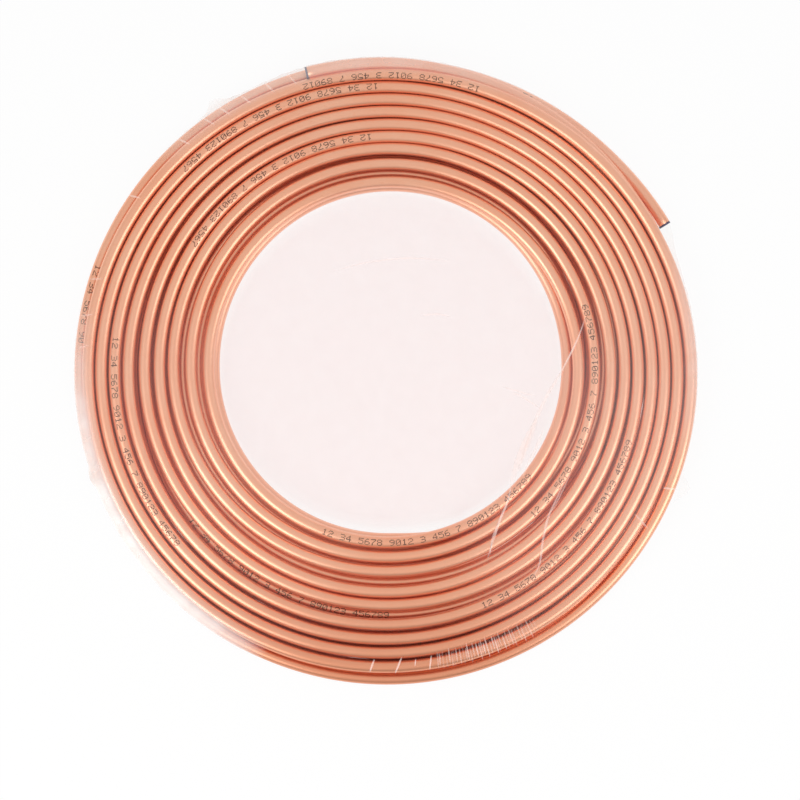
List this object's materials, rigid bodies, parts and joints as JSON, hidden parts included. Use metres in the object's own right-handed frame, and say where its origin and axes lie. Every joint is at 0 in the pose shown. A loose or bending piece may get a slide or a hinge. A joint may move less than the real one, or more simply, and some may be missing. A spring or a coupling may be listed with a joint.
{
  "type": "copper tube coil",
  "caption": "Flat round coil of soft copper tube wound in two layers, ends plugged, held in clear shrink film.",
  "frame": {"origin": "under the middle of the coil, on the surface that the wrapped coil lies on", "axes": "+Z up through the coil's bore; +X and +Y in the plane of the coil, +X to the right and +Y up as seen from above with the lower free end at upper right and the upper one at the top, left of the middle"},
  "size_m": [0.5156, 0.5157, 0.022],
  "materials": {
    "copper": "bright drawn copper, satin",
    "plug_plastic": "dark blue moulded plastic",
    "clear_film": "clear shrink film, glossy, lightly wrinkled"
  },
  "bodies": {
    "root": {"copper_tube_coil": "copper", "end_plug_upper": "plug_plastic", "end_plug_lower": "plug_plastic", "film_wrap": "clear_film"}
  },
  "joints": []
}
